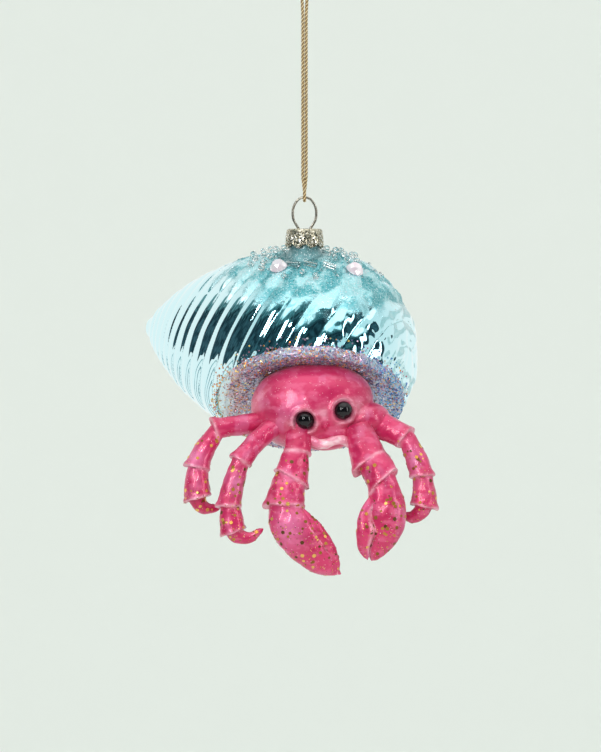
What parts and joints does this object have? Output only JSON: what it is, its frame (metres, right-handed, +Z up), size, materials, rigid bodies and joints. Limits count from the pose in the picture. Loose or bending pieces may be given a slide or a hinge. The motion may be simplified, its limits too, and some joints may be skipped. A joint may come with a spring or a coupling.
{
  "type": "hanging hermit crab ornament",
  "caption": "Hanging blown-glass ornament of a pink hermit crab looking out of a ribbed, silvered, turquoise shell, with a metal cap, a wire eye and a gold cord loop.",
  "frame": {"origin": "the point of the cord's loop that rests on a hook", "axes": "+Z straight up the hanging line, +X to the viewer's right, -Y the side that the crab faces"},
  "size_m": [0.1044, 0.0924, 0.2312],
  "materials": {
    "gold_cord": "twisted metallic thread",
    "wire": "bright drawn wire",
    "cap": "crimped and dusted with glitter",
    "shell": "silvered inside, turquoise lacquer",
    "glitter": "coarse mixed glitter",
    "crab": "pearly pink lacquer with gold flecks",
    "eye": "gloss",
    "stone": "clear, faceted or polished"
  },
  "bodies": {
    "cord": {"cord_strands": "gold_cord", "cord_knot": "gold_cord"},
    "bight": {"cord_bight": "gold_cord"},
    "hanger": {"hanger_wire": "wire", "neck_cap": "cap"},
    "glass": {"shell_glass": "shell", "lip_glitter": "glitter", "crab_body": "crab", "left_eye": "eye", "right_eye": "eye", "rhinestones": "stone", "bugle_beads": "stone", "seed_beads": "stone", "left_rear_leg": "crab", "left_front_leg": "crab", "left_claw": "crab", "right_claw": "crab", "right_rear_leg": "crab", "right_front_leg": "crab"}
  },
  "joints": [
    {"name": "spin", "type": "hinge", "parent": "cord", "child": "bight", "pos_m": [0, 0, -0.0758], "axis": [0, 0, 1], "range_deg": [-180, 180], "deforming": ["cord_strands"]},
    {"name": "swing", "type": "hinge", "parent": "bight", "child": "hanger", "pos_m": [0, 0, -0.0848], "axis": [1, 0, 0], "range_deg": [-90, 90]},
    {"name": "pull-off", "type": "slide", "parent": "hanger", "child": "glass", "axis": [0, 0, -1], "range_m": [0, 0.025]}
  ]
}
